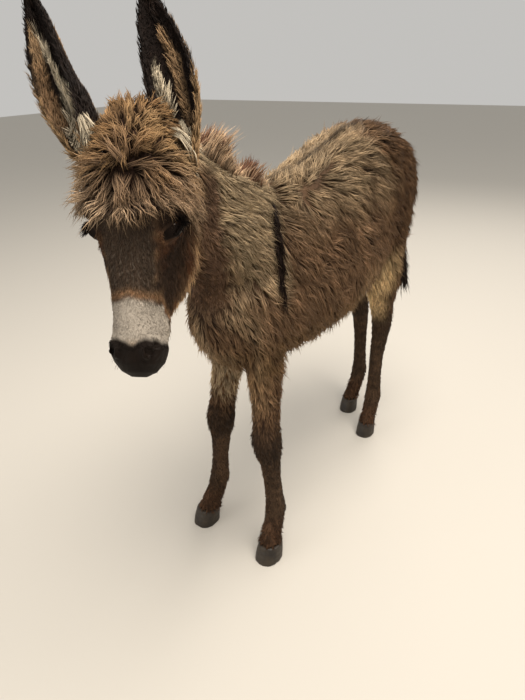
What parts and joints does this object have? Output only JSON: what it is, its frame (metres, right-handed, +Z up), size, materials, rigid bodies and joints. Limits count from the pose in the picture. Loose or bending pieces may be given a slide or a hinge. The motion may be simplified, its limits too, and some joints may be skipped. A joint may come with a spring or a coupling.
{
  "type": "donkey",
  "caption": "Life-size young donkey standing on all fours, shaggy winter coat, head turned to its left, tall ears raised.",
  "frame": {"origin": "on the floor, below the middle of the bounding box", "axes": "+Z up, -Y the way the body faces, +X its left side"},
  "size_m": [0.3698, 1.1978, 1.2634],
  "materials": {
    "coat": "shaggy mid-brown hair, pale at the muzzle and inner legs",
    "mane": "stiff dark brown hair",
    "legs": "short dark brown hair",
    "hoof": "dark grey-brown horn",
    "eye": "wet dark brown eye"
  },
  "bodies": {
    "root": {"trunk": "coat", "neck": "coat", "head": "coat", "ear_left": "coat", "ear_right": "coat", "eye_left": "eye", "eye_right": "eye", "mane": "mane", "tail": "coat", "fore_forearm_left": "legs", "fore_forearm_right": "legs", "fore_cannon_left": "legs", "fore_cannon_right": "legs", "fore_pastern_left": "legs", "fore_pastern_right": "legs", "hind_gaskin_left": "legs", "hind_gaskin_right": "legs", "hind_cannon_left": "legs", "hind_cannon_right": "legs", "hind_pastern_left": "legs", "hind_pastern_right": "legs", "fore_hoof_left": "hoof", "fore_hoof_right": "hoof", "hind_hoof_left": "hoof", "hind_hoof_right": "hoof"}
  },
  "joints": []
}
